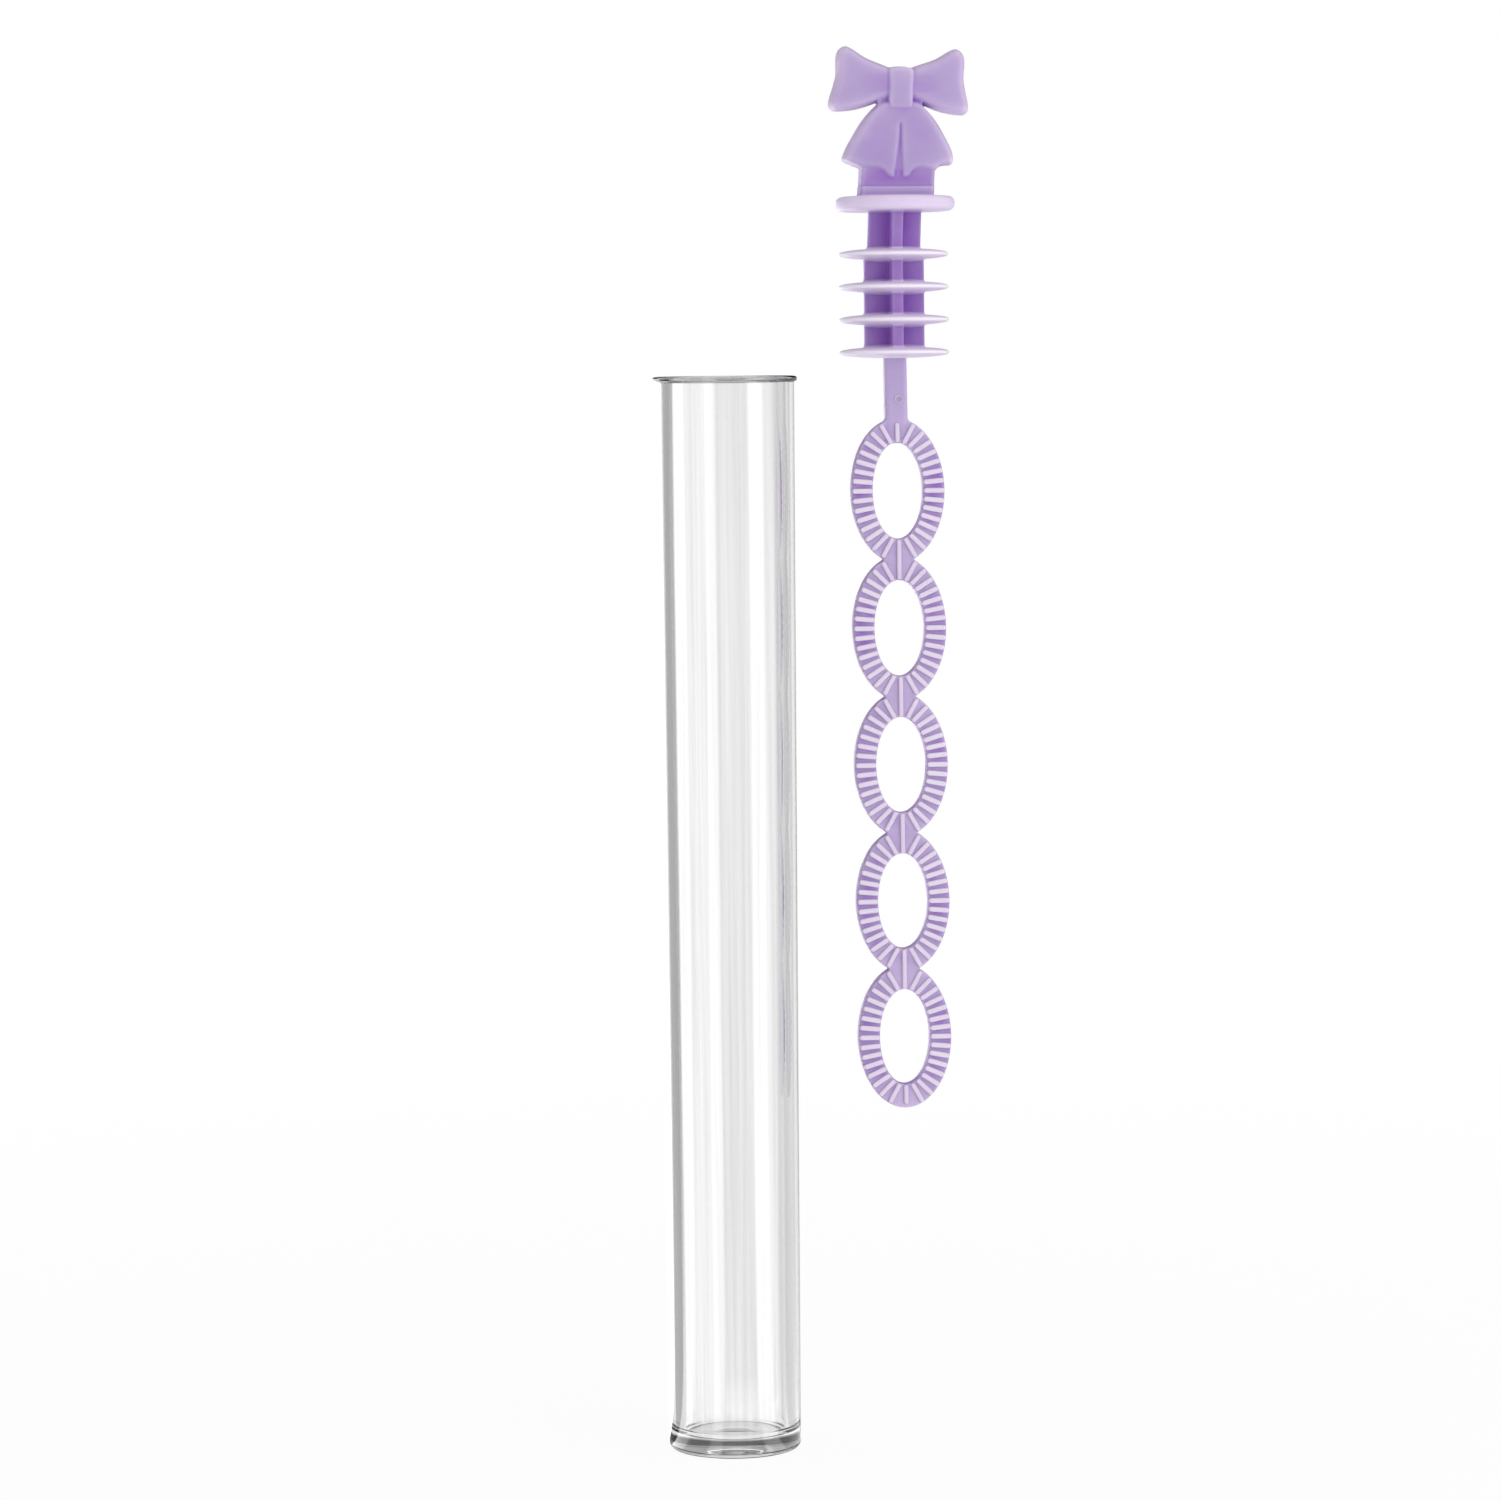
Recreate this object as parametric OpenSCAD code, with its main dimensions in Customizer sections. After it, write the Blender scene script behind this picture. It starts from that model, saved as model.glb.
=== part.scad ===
// Bubble wand: a clear moulded tube for the soap, and a one-piece wand that
// plugs it. The wand has a bow for a grip, a flange that stops on the rim, four
// sealing discs on a cross-shaped spine, a stem and a chain of ribbed rings.
// The wand is one moulding. It is drawn as named regions that meet face to face.
// The frame has its origin at the middle of the tube's foot, +Z up the tube,
// +X towards the wand, which stands beside the tube, and its front faces -Y.

/* [Tube] */
// Height of the tube, foot to rim
tube_height = 106; // [90:1:140]
// Outer diameter of the tube just under its lip
tube_mouth_d = 13.7; // [13:0.1:18]
// Outer diameter of the tube at its foot
tube_foot_d = 13; // [12.4:0.1:13.7]
// Thickness of the tube's wall
tube_wall = 1.4; // [0.8:0.1:1.6]
// Thickness of the tube's closed end
floor_thickness = 1.7; // [1:0.1:3]
// How far the lip stands out from the tube
lip_reach = 0.3; // [0.1:0.05:0.8]
// Height of the lip
lip_height = 0.6; // [0.3:0.05:1]
// Rounding of the foot's outer edge
foot_round = 0.6; // [0.2:0.05:1]
// Rounding between the wall and the floor, inside
floor_round = 0.9; // [0.3:0.05:1.5]
// Diameter of the dimple under the foot
dimple_d = 4.2; // [2:0.1:6]
// Depth of the dimple under the foot
dimple_depth = 0.35; // [0.1:0.05:0.6]

/* [Plug] */
// Play between a sealing disc and the tube's bore, on the radius
seal_play = 0.05; // [0.02:0.01:0.1]
// Drop from the flange to the middle of the first disc
first_disc_drop = 4.2; // [2.5:0.1:6]
// Distance from one disc to the next
disc_pitch = 3.2; // [2.2:0.1:4]
// Thickness of a disc at its middle
disc_middle = 1.15; // [0.8:0.05:1.8]
// Thickness of a disc at its rim
disc_rim = 0.4; // [0.2:0.05:0.6]
// Width of the spine's fins between the discs
fin_width = 5.9; // [4:0.1:7]
// Width of the spine's fins above the first disc
upper_fin_width = 5.2; // [4:0.1:7]
// Thickness of the spine's fins
fin_thickness = 1.1; // [0.8:0.1:1.6]
// How far the flange reaches over the tube's bore, on the radius
flange_overlap = 0.4; // [0.2:0.05:1]
// Thickness of the flange
flange_thickness = 1.4; // [1:0.05:2.4]
// Rounding of the flange's rim
flange_round = 0.45; // [0.2:0.05:0.45]

/* [Neck] */
// Width of the neck block
neck_width = 7.5; // [6:0.1:9]
// Thickness of the neck block, front to back
neck_depth = 3; // [2.4:0.1:3.1]
// Height of the neck block above its plinth
neck_height = 2.9; // [2.2:0.1:3.4]
// Height of the plinth that the neck block stands on
plinth_height = 0.95; // [0.5:0.05:1.5]
// How far the plinth stands proud of the neck block, in front and behind
plinth_proud = 0.35; // [0.1:0.05:0.6]
// Width of the tongue that runs up between the tails
tongue_width = 2.6; // [1.8:0.1:3.4]

/* [Bow] */
// Width of the bow over both wings
bow_width = 13.9; // [11:0.1:18]
// Height of a wing
wing_height = 6.4; // [5:0.1:8]
// Thickness of a wing at its middle
wing_depth = 3.2; // [2.8:0.1:4.2]
// Thickness of a wing at its far edge
wing_edge = 2.4; // [1.4:0.1:2.6]
// How far the wings lean to the right, in degrees
wing_lean = 2; // [0:0.5:4]
// Width of the knot
knot_width = 2.6; // [2:0.1:3.4]
// Height of the knot
knot_height = 4.25; // [3.5:0.05:5]
// Thickness of the knot
knot_depth = 4.1; // [3.9:0.1:6]
// Width of the tails at the hem
tail_width = 11.05; // [9:0.05:13]
// Height of the tails, hem to knot
tail_height = 7.75; // [6.5:0.05:9]
// Thickness of the tails at their middle
tail_depth = 3.8; // [3.7:0.1:4.8]
// Thickness of the tails at the corners of the hem
tail_edge = 3.35; // [3.2:0.05:3.6]
// Height of the hem's lowest point above the flange
hem_height = 1.75; // [1.6:0.05:2.4]
// Width of the slit between the tails at the hem
slit_width = 0.85; // [0.4:0.05:1.6]

/* [Stem] */
// Width of the stem
stem_width = 2.2; // [1.4:0.1:2.6]
// Thickness of the stem, front to back
stem_depth = 1.8; // [1.2:0.1:2]
// Length of the stem from the last disc's middle to the first ring
stem_length = 6.8; // [4:0.1:12]
// Height of the flare where the stem runs into the ring
flare_height = 0.5; // [0.3:0.1:1.8]

/* [Rings] */
// Width of a ring
ring_width = 9.3; // [8:0.05:9.6]
// Height of a ring
ring_height = 14.2; // [12:0.1:18]
// Width of a ring's hole
hole_width = 4.95; // [4:0.05:6]
// Height of a ring's hole
hole_height = 9.4; // [7:0.1:11]
// How far one ring runs into the next
ring_lap = 0.7; // [0.3:0.05:1.2]
// Width of the waist between two rings
waist_width = 3.6; // [2.8:0.1:5]
// Thickness of a ring in the grooves
ring_core = 1.2; // [0.8:0.1:2]
// Height of a rib above the grooves
rib_height = 0.4; // [0.2:0.05:0.7]
// Width of a rib
rib_width = 0.5; // [0.3:0.05:0.6]
// Number of ribs round a ring
rib_count = 32; // [16:4:40]

/* [Place] */
// Gap between the tube's lip and the bow beside it
wand_gap = 3; // [2:0.1:10]
// Height of the flange above the tube's rim
wand_rise = 15.95; // [5:0.05:30]

/* [Hidden] */
$fn = 64;
ball_facets = 256;
clear_plastic = [0.9, 0.93, 0.95, 0.35];
lavender = [0.72, 0.65, 0.83];
disc_count = 4;
ring_count = 5;
// One overrun serves every cut
overrun = tube_wall;

// Tube radii: the bore is straight where the plug seats and drafted below
mouth_r = tube_mouth_d / 2;
foot_r = tube_foot_d / 2;
lip_r = mouth_r + lip_reach;
bore_r = mouth_r - tube_wall;
foot_bore_r = foot_r - tube_wall;
dimple_ball_r = ball_radius(dimple_d / 2, dimple_depth);

// Heights on the wand, measured up from the underside of its flange
disc_r = bore_r - seal_play;
flange_r = bore_r + flange_overlap;
function disc_z(i) = -first_disc_drop - (i - 1) * disc_pitch;
plug_length = -disc_z(disc_count) + disc_middle;
seat_length = plug_length + disc_pitch;
neck_z = flange_thickness + plinth_height;
hem_z = flange_thickness + hem_height;
slit_top_share = 0.69;
tongue_top_share = 0.72;
tongue_z = hem_z + tail_height * tongue_top_share;
knot_foot_share = 0.861;
knot_z = hem_z + tail_height * knot_foot_share;
wing_foot_share = 0.078;
wing_z = knot_z - knot_height * wing_foot_share;
chain_z = disc_z(disc_count) - stem_length;

// Rings: each runs from one waist plane to the next
ring_pitch = ring_height - ring_lap;
mid_x = (ring_width + hole_width) / 4;
mid_z = (ring_height + hole_height) / 4;
rib_bar = ring_width - hole_width;
ring_thickness = ring_core + 2 * rib_height;
web_z = ring_height / 2 * sqrt(1 - pow(waist_width / ring_width, 2));
flare_width = ring_width * sqrt(1 - pow(ring_pitch / ring_height, 2));
function ring_z(i) = chain_z - (i - 0.5) * ring_pitch;
// Ribs stand evenly along the band from the middle of each long side, and one more stands at the
// top and one at the foot. Even steps along an ellipse lie closer in angle on its long sides.
rib_turn_share = 0.96;
rib_turn = rib_turn_share * 360 / rib_count;
rib_crowd = 7;
rib_crowd_again = 1;
function rib_angle(turn) = turn - rib_crowd * sin(2 * turn) + rib_crowd_again * sin(4 * turn);
rib_angles = concat([90, 270], [for (side = [0, 180]) for (i = [1 - rib_count / 4 : rib_count / 4 - 1])
    side + rib_angle(i * rib_turn)]);

// Place of the wand beside the tube
wand_x = lip_r + wand_gap + bow_width / 2;
wand_z = tube_height + wand_rise;

// Outline of a wing: x as a share of half the bow, z as a share of the wing's height
wing_shares = [[0.05, 0.26], [0.298, 0.155], [0.589, 0.042], [0.852, 0], [0.958, 0.02],
    [1, 0.125], [0.942, 0.392], [0.913, 0.56], [0.92, 0.785], [0.888, 0.93], [0.795, 1],
    [0.69, 0.965], [0.483, 0.831], [0.05, 0.62]];
// Outline of the knot: x as a share of its width, z as a share of its height
knot_shares = [[0.36, 0], [0.45, 0.05], [0.49, 0.2], [0.49, 0.5], [0.5, 0.88], [0.32, 0.98], [0, 1],
    [-0.32, 0.98], [-0.5, 0.88], [-0.49, 0.5], [-0.49, 0.2], [-0.45, 0.05], [-0.36, 0]];
// Outline of the tails, right tip to left tip: x as a share of half their width, z as a share of
// their height. The hem's waves differ a little from side to side.
tail_shares = [[0.125, 0], [0.2, 0.02], [0.28, 0.085], [0.37, 0.108], [0.48, 0.098], [0.59, 0.09],
    [0.68, 0.105], [0.75, 0.15], [0.85, 0.165], [0.94, 0.168], [0.985, 0.2], [1, 0.26], [0.965, 0.36],
    [0.839, 0.532], [0.705, 0.698], [0.554, 0.839], [0.37, 0.96], [0.15, 1], [-0.15, 1], [-0.37, 0.96],
    [-0.554, 0.839], [-0.705, 0.698], [-0.839, 0.532], [-0.939, 0.392], [-1, 0.25], [-0.965, 0.215],
    [-0.85, 0.178], [-0.72, 0.143], [-0.6, 0.118], [-0.48, 0.112], [-0.38, 0.108], [-0.29, 0.075],
    [-0.2, 0.02], [-0.125, 0]];
curve_steps = 4;

// Radius of the ball whose cap is depth deep and reach wide from its middle
function ball_radius(reach, depth) = (reach * reach + depth * depth) / (2 * depth);

// Smooth closed curve through the points, by Catmull and Rom's rule
function curve_point(a, b, c, d, t) = 0.5 * (2 * b + (c - a) * t + (2 * a - 5 * b + 4 * c - d) * t * t
    + (3 * b - a - 3 * c + d) * t * t * t);
function smooth(p) = [for (i = [0 : len(p) - 1]) for (s = [0 : curve_steps - 1])
    curve_point(p[(i + len(p) - 1) % len(p)], p[i], p[(i + 1) % len(p)], p[(i + 2) % len(p)],
        s / curve_steps)];
function sized(shares, w, h) = [for (p = shares) [p[0] * w, p[1] * h]];

// Biconvex lens about the Z axis, middle thick, and edge thick at the reach
module lens(reach, middle, edge) {
    r = ball_radius(reach, (middle - edge) / 2);
    intersection_for (s = [-1, 1]) translate([0, 0, s * (r - middle / 2)]) sphere(r, $fn = ball_facets);
}

// Flat outline drawn in x and z, given a thickness front to back
module slab(depth) {
    rotate([90, 0, 0]) linear_extrude(depth, center = true) children();
}

module at_wand(z) {
    translate([wand_x, 0, wand_z + z]) children();
}

module rounded_corner(x, z, r) {
    translate([x - r, z]) circle(r);
}

// Half section of the tube's outside, with its rounded foot and lip
module tube_outside() {
    polygon([[0, 0], [foot_r - foot_round, 0], [foot_r, foot_round], [mouth_r, tube_height - lip_height],
        [lip_r - lip_height / 2, tube_height - lip_height], [lip_r, tube_height - lip_height / 2],
        [lip_r - lip_height / 2, tube_height], [0, tube_height]]);
    rounded_corner(foot_r, foot_round, foot_round);
    rounded_corner(lip_r, tube_height - lip_height / 2, lip_height / 2);
}

// Half section of the tube's inside, open at the top
module tube_inside() {
    polygon([[0, floor_thickness], [foot_bore_r - floor_round, floor_thickness],
        [foot_bore_r, floor_thickness + floor_round], [bore_r, tube_height - seat_length],
        [bore_r, tube_height + overrun], [0, tube_height + overrun]]);
    rounded_corner(foot_bore_r, floor_thickness + floor_round, floor_round);
}

module tube() {
    color(clear_plastic) difference() {
        rotate_extrude() difference() {
            tube_outside();
            tube_inside();
        }
        translate([0, 0, dimple_depth - dimple_ball_r]) sphere(dimple_ball_r);
    }
}

module seal_disc(i) {
    color(lavender) at_wand(disc_z(i)) intersection() {
        lens(disc_r, disc_middle, disc_rim);
        cylinder(disc_middle, r = disc_r, center = true);
    }
}

module stop_flange() {
    color(lavender) at_wand(0) rotate_extrude() {
        square([flange_r - flange_round, flange_thickness]);
        translate([0, flange_round]) square([flange_r, flange_thickness - 2 * flange_round]);
        rounded_corner(flange_r, flange_round, flange_round);
        rounded_corner(flange_r, flange_thickness - flange_round, flange_round);
    }
}

// Cross of two fins that hangs from z
module fin_cross(z, width, height) {
    translate([0, 0, z - height]) linear_extrude(height) {
        square([width, fin_thickness], center = true);
        square([fin_thickness, width], center = true);
    }
}

module plug_spine() {
    color(lavender) at_wand(0) difference() {
        union() {
            fin_cross(0, upper_fin_width, first_disc_drop);
            fin_cross(disc_z(1), fin_width, disc_z(1) - disc_z(disc_count));
        }
        for (i = [1 : disc_count]) translate([0, 0, disc_z(i)]) lens(disc_r, disc_middle, disc_rim);
    }
}

module stem() {
    color(lavender) at_wand(0) difference() {
        slab(stem_depth) translate([0, chain_z]) {
            translate([-stem_width / 2, 0]) square([stem_width, stem_length]);
            polygon([[-flare_width / 2, 0], [flare_width / 2, 0], [stem_width / 2, flare_height],
                [-stem_width / 2, flare_height]]);
        }
        translate([0, 0, disc_z(disc_count)]) lens(disc_r, disc_middle, disc_rim);
    }
}

module ellipse(w, h) {
    scale([w / 2, h / 2]) circle(1);
}

// Outline of ring i between its waist planes. The last ring is round below.
module ring_band(i) {
    top = ring_pitch / 2;
    foot = i < ring_count ? -top : -ring_height;
    difference() {
        intersection() {
            union() {
                ellipse(ring_width, ring_height);
                if (i > 1) translate([-waist_width / 2, web_z]) square([waist_width, top - web_z]);
                if (i < ring_count) translate([-waist_width / 2, foot]) square([waist_width, top - web_z]);
            }
            translate([-ring_width, foot]) square([2 * ring_width, top - foot]);
        }
        ellipse(hole_width, hole_height);
    }
}

// Bars square to the middle of the band
module ring_bars() {
    for (t = rib_angles) translate([mid_x * cos(t), mid_z * sin(t)])
        rotate(atan2(mid_x * sin(t), mid_z * cos(t))) square([rib_bar, rib_width], center = true);
}

module bubble_ring(i) {
    color(lavender) at_wand(ring_z(i)) {
        slab(ring_core) ring_band(i);
        slab(ring_thickness) intersection() {
            ring_band(i);
            ring_bars();
        }
    }
}

module wing_outline(side) {
    translate([0, knot_z + knot_height / 2]) rotate(-wing_lean) translate([0, wing_z - knot_z - knot_height / 2])
        scale([side, 1]) polygon(smooth(sized(wing_shares, bow_width / 2, wing_height)));
}

module knot_outline() {
    translate([0, knot_z]) polygon(smooth(sized(knot_shares, knot_width, knot_height)));
}

module tails_outline() {
    translate([0, hem_z]) difference() {
        polygon(smooth(sized(tail_shares, tail_width / 2, tail_height)));
        polygon([[0, tail_height * slit_top_share], [-slit_width / 2, -overrun], [slit_width / 2, -overrun]]);
    }
}

module bow_wing(side) {
    middle_x = side * (knot_width + bow_width) / 4;
    color(lavender) at_wand(0) intersection() {
        slab(wing_depth) difference() {
            wing_outline(side);
            knot_outline();
        }
        translate([middle_x, 0, wing_z + wing_height / 2]) rotate([90, 0, 0])
            lens(wing_height / 2, wing_depth, wing_edge);
    }
}

module bow_knot() {
    color(lavender) at_wand(0) intersection() {
        slab(knot_depth) knot_outline();
        translate([0, 0, knot_z + knot_height / 2]) rotate([90, 0, 0])
            lens(knot_height / 2, knot_depth, wing_depth);
    }
}

// The tails hang in front of and behind the neck, and are solid above it
module bow_tails() {
    color(lavender) at_wand(0) difference() {
        intersection() {
            slab(tail_depth) difference() {
                tails_outline();
                knot_outline();
                wing_outline(-1);
                wing_outline(1);
            }
            translate([0, 0, hem_z + tail_height / 2]) rotate([90, 0, 0])
                lens(tail_width / 2, tail_depth, tail_edge);
        }
        neck_core();
    }
}

module neck_core() {
    slab(neck_depth) {
        translate([-neck_width / 2, neck_z]) square([neck_width, neck_height]);
        translate([-tongue_width / 2, neck_z]) square([tongue_width, tongue_z - neck_z]);
    }
}

module neck() {
    plinth = [neck_width, neck_depth + 2 * plinth_proud];
    color(lavender) at_wand(0) {
        neck_core();
        translate([0, 0, flange_thickness]) linear_extrude(plinth_height) square(plinth, center = true);
    }
}

tube();
bow_wing(-1);  // bow_wing_left
bow_wing(1);  // bow_wing_right
bow_knot();
bow_tails();
neck();
stop_flange();
plug_spine();
seal_disc(1);  // seal_disc_1
seal_disc(2);  // seal_disc_2
seal_disc(3);  // seal_disc_3
seal_disc(4);  // seal_disc_4
stem();
bubble_ring(1);  // bubble_ring_1
bubble_ring(2);  // bubble_ring_2
bubble_ring(3);  // bubble_ring_3
bubble_ring(4);  // bubble_ring_4
bubble_ring(5);  // bubble_ring_5
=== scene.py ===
"""Bubble wand: a clear soap tube and, beside it, the one-piece lavender wand that plugs it.

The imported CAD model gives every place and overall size. The wand is moulded in one
piece, so its forms are made as fields of distances, in which they run together with
soft fillets, and a skin is drawn over each field: one for the grip with its plug, and
one for the stem with its rings, which starts inside the last disc and carries the ribs.
"""
import math

import bpy
import numpy as np
from mathutils import Matrix, Vector


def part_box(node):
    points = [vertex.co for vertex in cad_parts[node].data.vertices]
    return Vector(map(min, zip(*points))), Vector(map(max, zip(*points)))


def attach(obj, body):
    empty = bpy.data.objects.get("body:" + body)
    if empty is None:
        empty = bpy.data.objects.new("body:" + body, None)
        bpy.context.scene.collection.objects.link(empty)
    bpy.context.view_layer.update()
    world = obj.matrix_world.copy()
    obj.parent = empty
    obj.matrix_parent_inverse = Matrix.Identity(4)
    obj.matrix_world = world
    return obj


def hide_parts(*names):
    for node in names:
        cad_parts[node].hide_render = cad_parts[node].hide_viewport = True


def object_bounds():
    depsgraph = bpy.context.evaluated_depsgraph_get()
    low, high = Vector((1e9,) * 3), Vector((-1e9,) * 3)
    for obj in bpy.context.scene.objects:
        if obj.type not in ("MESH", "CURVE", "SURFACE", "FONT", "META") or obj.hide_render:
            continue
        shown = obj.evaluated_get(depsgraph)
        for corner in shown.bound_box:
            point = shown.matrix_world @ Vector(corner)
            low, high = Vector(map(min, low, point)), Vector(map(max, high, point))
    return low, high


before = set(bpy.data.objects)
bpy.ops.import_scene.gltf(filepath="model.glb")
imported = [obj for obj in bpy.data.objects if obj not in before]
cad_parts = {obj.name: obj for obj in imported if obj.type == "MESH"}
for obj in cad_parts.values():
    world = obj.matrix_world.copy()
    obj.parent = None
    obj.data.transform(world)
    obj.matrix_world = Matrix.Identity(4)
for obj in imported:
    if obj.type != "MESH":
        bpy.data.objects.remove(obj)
cad_low, cad_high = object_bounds()

MM = 0.001
DISCS = ["seal_disc_%d" % n for n in range(1, 5)]
RINGS = ["bubble_ring_%d" % n for n in range(1, 6)]
GRIP_NODES = ["bow_wing_left", "bow_wing_right", "bow_knot", "bow_tails", "neck", "stop_flange",
              "plug_spine"] + DISCS
CHAIN_NODES = ["stem"] + RINGS

# Wand datum: the middle of the flange's underside. Wand sizes below are in millimetres from it.
flange_low, flange_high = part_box("stop_flange")
DATUM = Vector(((flange_low.x + flange_high.x) / 2, 0, flange_low.z))


def wand_box(node):
    """A node's lowest and highest corner in millimetres from the wand's datum."""
    low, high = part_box(node)
    return np.array((low - DATUM) / MM), np.array((high - DATUM) / MM)


# Skins of the wand: the steps of their grids, margins counted in steps, and the most triangles
GRIP_STEP = 0.085
CHAIN_STEP = 0.075
GRID_MARGIN = 5
JOIN_MARGIN = 4
FAR = 2.0
TINY = 1e-6
GRIP_TRIANGLES = 190000
CHAIN_TRIANGLES = 130000
# Half the size of the cubes in which the share of air is measured
FINE_REACH = 0.35
BROAD_REACH = 1.2
# The real wand is not quite straight: height on the wand and how far it stands to the right there
BEND = [(-88, 0.2), (-60, 0.05), (-25, -0.11), (-14, -0.26), (-4, -0.28), (0, -0.14), (3, 0.05),
        (7, 0.28), (13, 0.42)]

# Flange, spine and discs
FLANGE_ROUND = 0.62
UPPER_FIN_WIDTH = 5.2
FIN_THICKNESS = 1.1
FIN_ROUND = 0.2
FIN_FILLET = 0.3
DISC_RIM_ROUND = 0.17
DISC_FULLNESS = 0.6
DISC_STEPS = 25
DISC_CROWD = 0.7
DISC_FILLET = 0.25

# Neck
NECK_WIDTH = 7.5
NECK_DEPTH = 3.0
NECK_ROUND = 0.3
NECK_DRAFT = 0.12
PLINTH_HEIGHT = 0.95
PLINTH_DEPTH = 3.5
PLINTH_ROUND = 0.1
BLOCK_TOP_SHARE = 0.3
TONGUE_WIDTH = 2.6

# Bow: its sides are drafted both ways from the middle plane, where the mould parts
CURVE_STEPS = 8
BOW_DRAFT = 0.24
WING_LEAN = math.radians(2)
WING_DEPTH = 3.3
WING_EDGE = 2.7
WING_ROUND = 0.42
WING_UPRIGHT_SHARE = 0.5
WING_REACH_IN = 2
CROWN_LIMIT = 1.3
KNOT_DEPTH = 4.1
KNOT_EDGE = 3.85
KNOT_ROUND = 0.3
KNOT_DRAFT = 0.1
TAIL_DEPTH = 3.6
TAIL_EDGE = 3.3
TAIL_ROUND = 0.36
SLIT_WIDTH = 0.85
SLIT_TOP_SHARE = 0.69
SLIT_FILLET = 0.1
HEM_DRAFT = 0.06
HEM_REACH = 2.5
SHOULDER_DRAFT = 0.1
BOW_FILLET = 0.16
ROOT_DEPTH = 2.4
ROOT_HALF_WIDTH = 2.1
ROOT_FOOT = 9.8
ROOT_TOP = 11.6
ROOT_ROUND = 0.5
ROOT_FILLET = 0.3

# Stem and rings
STEM_WIDTH = 2.2
STEM_DEPTH = 1.8
STEM_ROUND = 0.4
STEM_FILLET = 0.35
STEM_OVERLAP = 1
STEM_RUN_START = 0.2
STEM_RUN_OUT = 1.3
POST_FILLET = 0.12
RING_HEIGHT = 14.2
HOLE_WIDTH = 4.95
HOLE_HEIGHT = 9.4
WAIST_FILLET = 0.3
RING_CORE = 1.45
RING_ROUND = 0.1
RING_DRAFT = 0.06
RIB_COUNT = 32
RIB_WIDTH = 0.5
# Ribs grow slimmer, and their painted light fainter, by these towards a ring's top and foot
RIB_SLIMMER_SHARE = 0.12
RIB_FADE = 0.07
RIB_ROUND = 0.14
RIB_CORNER = 0.182
RIB_INSET = 0.09
RIB_FOOT_SPREAD = 0.03
RIB_STEPS = 3
RIB_TURN_SHARE = 0.96
RIB_CROWD = math.radians(7)
RIB_CROWD_AGAIN = math.radians(1)
GATE_DROP = 18.4
GATE_RIGHT = 0.22
GATE_STEPS = 28
# The gate mark on the stem, from its middle out: radius, height, tilt of its surface and tone
GATE_ROWS = [(0.06, -0.02, 0, 0.52), (0.2, -0.02, 0, 0.52), (0.3, 0.05, -45, 0.57),
             (0.36, 0.08, 0, 0.65), (0.42, 0.06, 45, 0.63), (0.48, 0, 55, 0.55), (0.52, -0.06, 55, 0.52)]

# Paleness of the plastic: its base, and how much painted light and shade it takes from the air in small
# and in large cubes; the flange's and discs' paler bases are painted light, the fins' deeper one painted
# shade
BOW_TONE = (0.485, 0.4, 0.2)
FLANGE_TONE = (0.685, 0.3, 0)
DISC_TONE = (0.84, 0.3, 0)
FIN_TONE = (0.42, 0.2, 0.1)
STEM_TONE = (0.54, 0.1, 0)
# Ribs at their foot, on their sides and on top: painted shade at the foot, painted light on top
RIB_PAINTED_TONES = (0.58, 0.7, 0.76)
# How much painted light makes some places paler, and painted shade some deeper
BOW_WALLS_PAINTED_LIGHT = 0.12
NECK_PAINTED_SHADE = 0.055
RING_EDGES_PAINTED_LIGHT = 0.3
HOLE_ENDS_PAINTED_LIGHT = 0.2
LONG_SIDES_PAINTED_SHADE = 0.14
RING_WALLS_PAINTED_SHADE = 0.12
# The lengths that changes of tone take, some with the place where they start
BOW_BLEND = 0.3
FLANGE_BLEND = 0.2
DISC_BLEND = 0.25
RING_BLEND = 0.4
HOLE_BORDER = 0.5
BOW_WALLS_RISE = (3.9, 0.4)
NECK_FACE_RISE = (1.52, 0.1)
NECK_TOP_RISE = (3.8, 0.3)
DISC_RIM_SHARE = 0.05

# Outlines as shares: a wing of half the bow and its height, the knot of its width and height,
# and the tails, from the right tip round to the left one, of half their width and their height
WING_SHARES = [(0.05, 0.26), (0.298, 0.155), (0.589, 0.042), (0.852, 0), (0.958, 0.02), (1, 0.125),
               (0.942, 0.392), (0.913, 0.56), (0.92, 0.785), (0.888, 0.93), (0.795, 1), (0.69, 0.965),
               (0.483, 0.831), (0.05, 0.62)]
KNOT_SHARES = [(0.36, 0), (0.45, 0.05), (0.49, 0.2), (0.49, 0.5), (0.5, 0.88), (0.32, 0.98), (0, 1),
               (-0.32, 0.98), (-0.5, 0.88), (-0.49, 0.5), (-0.49, 0.2), (-0.45, 0.05), (-0.36, 0)]
TAIL_SHARES = [(0.125, 0), (0.2, 0.02), (0.28, 0.085), (0.37, 0.108), (0.48, 0.098), (0.59, 0.09),
               (0.68, 0.105), (0.75, 0.15), (0.85, 0.165), (0.94, 0.168), (0.985, 0.2), (1, 0.26),
               (0.965, 0.36), (0.839, 0.532), (0.705, 0.698), (0.554, 0.839), (0.37, 0.96), (0.15, 1),
               (-0.15, 1), (-0.37, 0.96), (-0.554, 0.839), (-0.705, 0.698), (-0.839, 0.532),
               (-0.939, 0.392), (-1, 0.25), (-0.965, 0.215), (-0.85, 0.178), (-0.72, 0.143),
               (-0.6, 0.118), (-0.48, 0.112), (-0.38, 0.108), (-0.29, 0.075), (-0.2, 0.02), (-0.125, 0)]


# Distances: negative inside a form, in millimetres

def smooth_min(a, b, fillet):
    """Union of two fields with a fillet where they meet."""
    share = np.clip(0.5 + 0.5 * (b - a) / fillet, 0, 1)
    return b + (a - b) * share - fillet * share * (1 - share)


def rounded(u, v, radius):
    """Common part of two half spaces with its edge rounded."""
    u = u + radius
    v = v + radius
    return np.minimum(np.maximum(u, v), 0) + np.hypot(np.maximum(u, 0), np.maximum(v, 0)) - radius


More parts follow.
